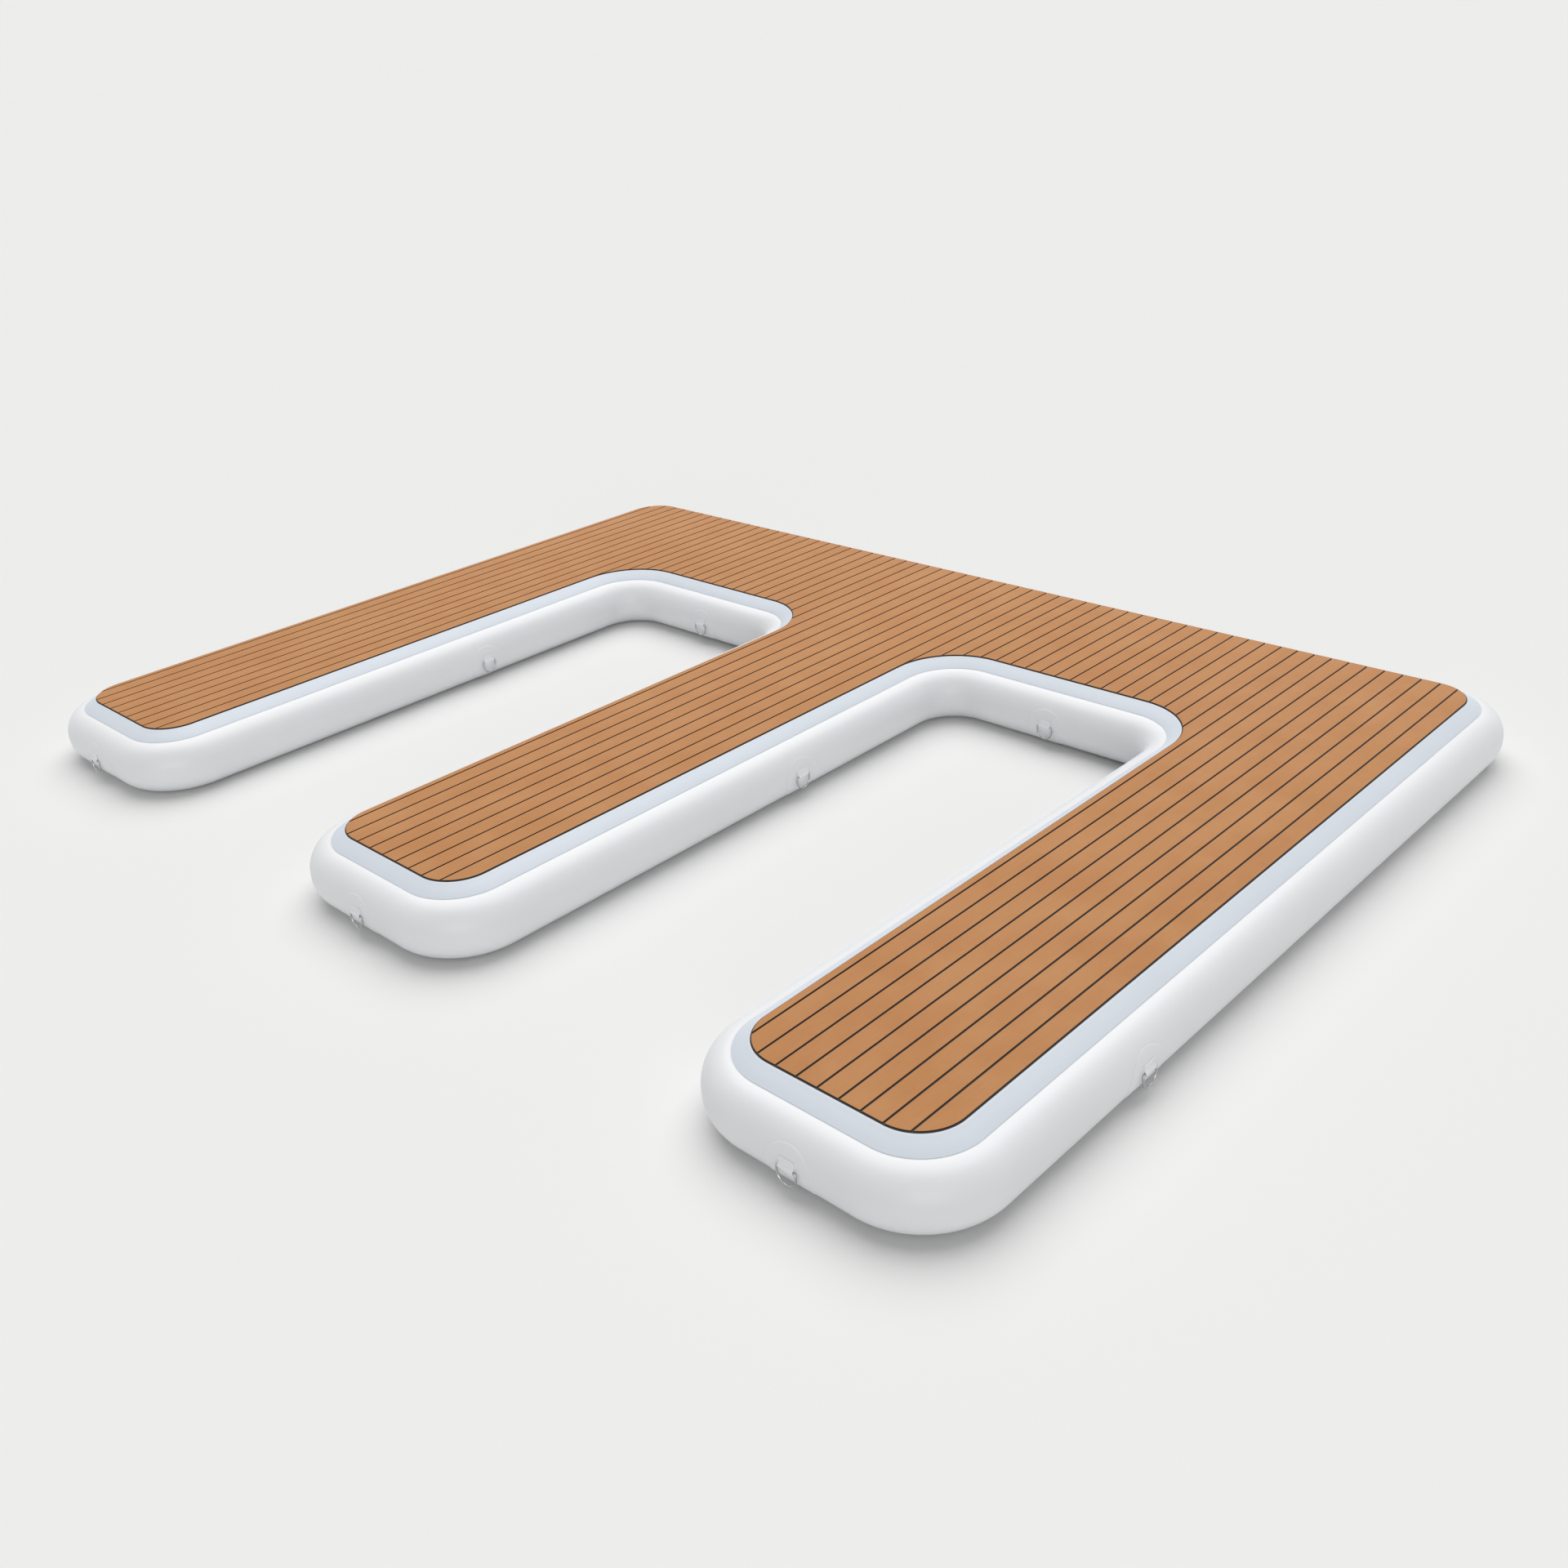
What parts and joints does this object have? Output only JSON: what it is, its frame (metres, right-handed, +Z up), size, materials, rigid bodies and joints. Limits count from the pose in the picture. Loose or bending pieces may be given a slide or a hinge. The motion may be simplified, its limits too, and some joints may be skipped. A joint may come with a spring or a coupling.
{
  "type": "inflatable jet ski dock",
  "caption": "E-shaped inflatable drop-stitch dock with open bays between its fingers, a planked foam deck and D-rings round its wall.",
  "frame": {"origin": "middle of the underside, at the surface that the dock lies on", "axes": "+Z up, +Y from the fingers' tips towards the spine at the back, +X to the right seen from the tips"},
  "size_m": [6.0274, 4.4674, 0.3063],
  "materials": {
    "skin": "pale blue-grey coated fabric, satin",
    "wall_fabric": "white coated fabric, satin",
    "woven_core": "undyed woven polyester",
    "deck_foam": "teak brown foam planks on black foam, brushed",
    "polished_steel": "polished stainless steel wire",
    "valve_plastic": "light grey moulded plastic",
    "seal_rubber": "black moulded rubber"
  },
  "bodies": {
    "float": {"top_skin": "skin", "bottom_skin": "skin", "drop_stitch_core": "woven_core", "tip_wall_left": "wall_fabric", "tip_wall_middle": "wall_fabric", "tip_wall_right": "wall_fabric", "back_wall": "wall_fabric", "side_wall_left": "wall_fabric", "side_wall_right": "wall_fabric", "bay_wall_left": "wall_fabric", "bay_wall_right": "wall_fabric", "wall_joint_tape_left_tip_left": "wall_fabric", "wall_joint_tape_left_tip_right": "wall_fabric", "wall_joint_tape_middle_tip_left": "wall_fabric", "wall_joint_tape_middle_tip_right": "wall_fabric", "wall_joint_tape_right_tip_left": "wall_fabric", "wall_joint_tape_right_tip_right": "wall_fabric", "wall_joint_tape_back_left": "wall_fabric", "wall_joint_tape_back_right": "wall_fabric", "ring_patch_tip_left": "wall_fabric", "ring_patch_back_left": "wall_fabric", "ring_patch_tip_middle": "wall_fabric", "ring_patch_back_middle": "wall_fabric", "ring_patch_tip_right": "wall_fabric", "ring_patch_back_right": "wall_fabric", "ring_patch_left_bay_left": "wall_fabric", "ring_patch_left_bay_back": "wall_fabric", "ring_patch_left_bay_right": "wall_fabric", "ring_patch_right_bay_left": "wall_fabric", "ring_patch_right_bay_back": "wall_fabric", "ring_patch_right_bay_right": "wall_fabric", "ring_patch_side_left": "wall_fabric", "ring_patch_side_right": "wall_fabric", "deck_sheet_left_finger": "deck_foam", "deck_sheet_left_bay": "deck_foam", "deck_sheet_middle_finger": "deck_foam", "deck_sheet_right_bay": "deck_foam", "deck_sheet_right_finger": "deck_foam", "valve_spring": "polished_steel", "valve_body": "valve_plastic", "valve_nut": "valve_plastic", "valve_gasket": "seal_rubber"},
    "ring_tip_left": {"d_ring_tip_left": "polished_steel"},
    "ring_back_left": {"d_ring_back_left": "polished_steel"},
    "ring_tip_middle": {"d_ring_tip_middle": "polished_steel"},
    "ring_back_middle": {"d_ring_back_middle": "polished_steel"},
    "ring_tip_right": {"d_ring_tip_right": "polished_steel"},
    "ring_back_right": {"d_ring_back_right": "polished_steel"},
    "ring_left_bay_left": {"d_ring_left_bay_left": "polished_steel"},
    "ring_left_bay_back": {"d_ring_left_bay_back": "polished_steel"},
    "ring_left_bay_right": {"d_ring_left_bay_right": "polished_steel"},
    "ring_right_bay_left": {"d_ring_right_bay_left": "polished_steel"},
    "ring_right_bay_back": {"d_ring_right_bay_back": "polished_steel"},
    "ring_right_bay_right": {"d_ring_right_bay_right": "polished_steel"},
    "ring_side_left": {"d_ring_side_left": "polished_steel"},
    "ring_side_right": {"d_ring_side_right": "polished_steel"},
    "valve_plunger": {"valve_plunger": "valve_plastic", "valve_seal": "seal_rubber"},
    "valve_cap": {"valve_cap": "valve_plastic"}
  },
  "joints": [
    {"name": "ring_swing_tip_left", "type": "hinge", "parent": "float", "child": "ring_tip_left", "pos_m": [-2.405, -2.22755, 0.1175], "axis": [-1, 0, 0], "range_deg": [-10, 150]},
    {"name": "ring_swing_back_left", "type": "hinge", "parent": "float", "child": "ring_back_left", "pos_m": [-2.405, 2.22755, 0.1175], "axis": [1, 0, 0], "range_deg": [-10, 150]},
    {"name": "ring_swing_tip_middle", "type": "hinge", "parent": "float", "child": "ring_tip_middle", "pos_m": [0, -2.22755, 0.1175], "axis": [-1, 0, 0], "range_deg": [-10, 150]},
    {"name": "ring_swing_back_middle", "type": "hinge", "parent": "float", "child": "ring_back_middle", "pos_m": [0, 2.22755, 0.1175], "axis": [1, 0, 0], "range_deg": [-10, 150]},
    {"name": "ring_swing_tip_right", "type": "hinge", "parent": "float", "child": "ring_tip_right", "pos_m": [2.405, -2.22755, 0.1175], "axis": [-1, 0, 0], "range_deg": [-10, 150]},
    {"name": "ring_swing_back_right", "type": "hinge", "parent": "float", "child": "ring_back_right", "pos_m": [2.405, 2.22755, 0.1175], "axis": [1, 0, 0], "range_deg": [-10, 150]},
    {"name": "ring_swing_left_bay_left", "type": "hinge", "parent": "float", "child": "ring_left_bay_left", "pos_m": [-1.80245, -0.2, 0.1175], "axis": [0, -1, 0], "range_deg": [-10, 150]},
    {"name": "ring_swing_left_bay_back", "type": "hinge", "parent": "float", "child": "ring_left_bay_back", "pos_m": [-1.21, 0.89245, 0.1175], "axis": [-1, 0, 0], "range_deg": [-10, 150]},
    {"name": "ring_swing_left_bay_right", "type": "hinge", "parent": "float", "child": "ring_left_bay_right", "pos_m": [-0.61755, -0.2, 0.1175], "axis": [0, 1, 0], "range_deg": [-10, 150]},
    {"name": "ring_swing_right_bay_left", "type": "hinge", "parent": "float", "child": "ring_right_bay_left", "pos_m": [0.61755, -0.2, 0.1175], "axis": [0, -1, 0], "range_deg": [-10, 150]},
    {"name": "ring_swing_right_bay_back", "type": "hinge", "parent": "float", "child": "ring_right_bay_back", "pos_m": [1.21, 0.89245, 0.1175], "axis": [-1, 0, 0], "range_deg": [-10, 150]},
    {"name": "ring_swing_right_bay_right", "type": "hinge", "parent": "float", "child": "ring_right_bay_right", "pos_m": [1.80245, -0.2, 0.1175], "axis": [0, 1, 0], "range_deg": [-10, 150]},
    {"name": "ring_swing_side_left", "type": "hinge", "parent": "float", "child": "ring_side_left", "pos_m": [-3.00755, -1.114, 0.1175], "axis": [0, 1, 0], "range_deg": [-10, 150]},
    {"name": "ring_swing_side_right", "type": "hinge", "parent": "float", "child": "ring_side_right", "pos_m": [3.00755, -1.114, 0.1175], "axis": [0, -1, 0], "range_deg": [-10, 150]},
    {"name": "valve_push", "type": "slide", "parent": "float", "child": "valve_plunger", "axis": [0, -1, 0], "range_m": [0, 0.008], "stiffness_N_per_m": 800, "springref_m": -0.01, "deforming": ["valve_spring"]},
    {"name": "cap_twist", "type": "hinge", "parent": "float", "child": "valve_cap", "pos_m": [1.2, 2.22, 0.15], "axis": [0, 1, 0], "range_deg": [0, 60]}
  ]
}
